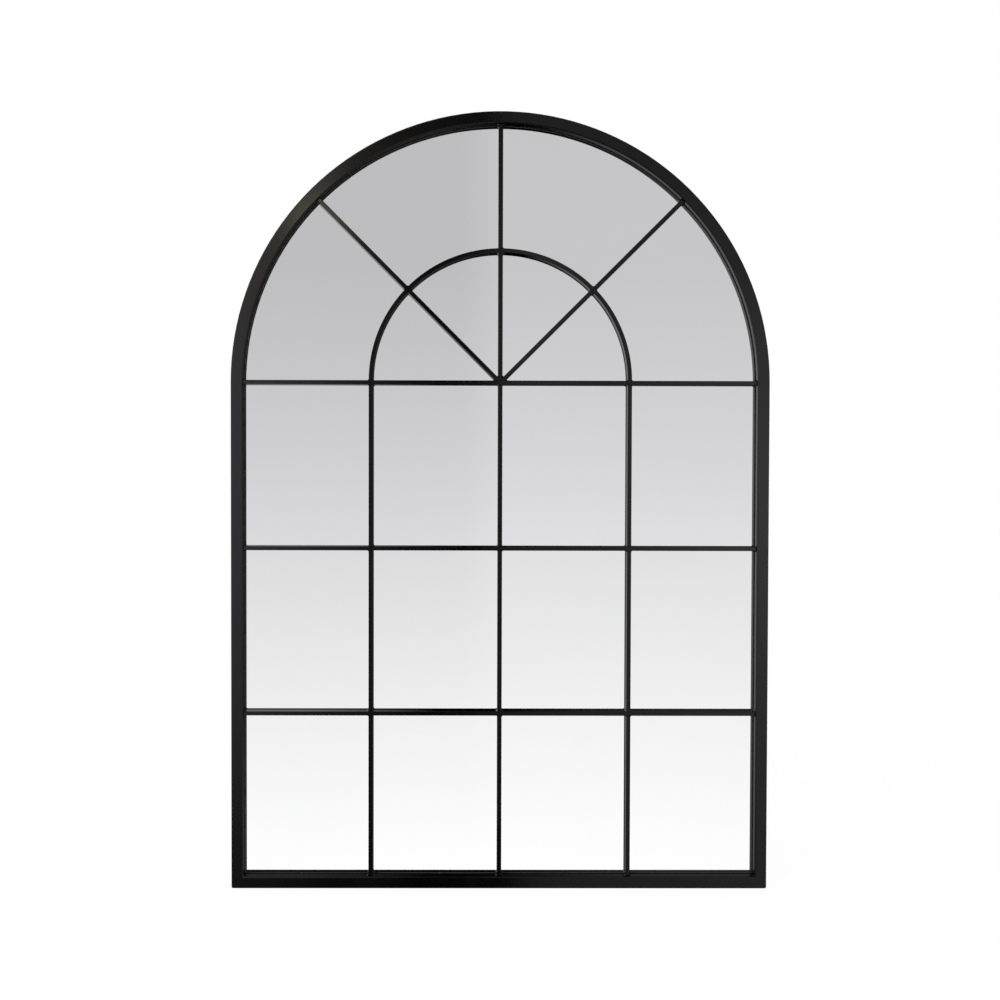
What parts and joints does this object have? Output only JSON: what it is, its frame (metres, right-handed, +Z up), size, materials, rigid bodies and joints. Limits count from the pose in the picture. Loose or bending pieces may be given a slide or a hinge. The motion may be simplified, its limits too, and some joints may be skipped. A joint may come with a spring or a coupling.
{
  "type": "arched window mirror",
  "caption": "Tall wall mirror with a round-headed steel window frame: welded glazing bars divide the mirror glass into panes with a fan above.",
  "frame": {"origin": "on the wall plane, midway between the entry holes of the two keyhole plates", "axes": "+X to the right seen from the front, +Y into the wall (the front faces -Y), +Z up"},
  "size_m": [0.9, 0.032, 1.2999],
  "materials": {
    "frame_black": "satin black powder coat on welded steel",
    "mirror_silver": "clear silvered glass",
    "edge_foam": "black closed-cell foam tape",
    "hardboard": "smooth brown hardboard",
    "grey_felt": "dark grey pressed felt"
  },
  "bodies": {
    "root": {"board_tabs": "frame_black", "bottom_rail": "frame_black", "centre_ray_inner": "frame_black", "centre_ray_outer": "frame_black", "centre_upright_lower": "frame_black", "centre_upright_middle": "frame_black", "centre_upright_upper": "frame_black", "fan_arch": "frame_black", "frame_head": "frame_black", "hanger_welds": "frame_black", "left_hanger_plate": "frame_black", "left_ray_inner": "frame_black", "left_ray_outer": "frame_black", "left_stile": "frame_black", "left_upright_lower": "frame_black", "left_upright_middle": "frame_black", "left_upright_upper": "frame_black", "lower_transom": "frame_black", "middle_transom": "frame_black", "right_hanger_plate": "frame_black", "right_ray_inner": "frame_black", "right_ray_outer": "frame_black", "right_stile": "frame_black", "right_upright_lower": "frame_black", "right_upright_middle": "frame_black", "right_upright_upper": "frame_black", "upper_transom": "frame_black", "weld_beads": "frame_black", "mirror_glass": "mirror_silver", "edge_tape": "edge_foam", "backing_board": "hardboard", "wall_pads": "grey_felt"}
  },
  "joints": []
}
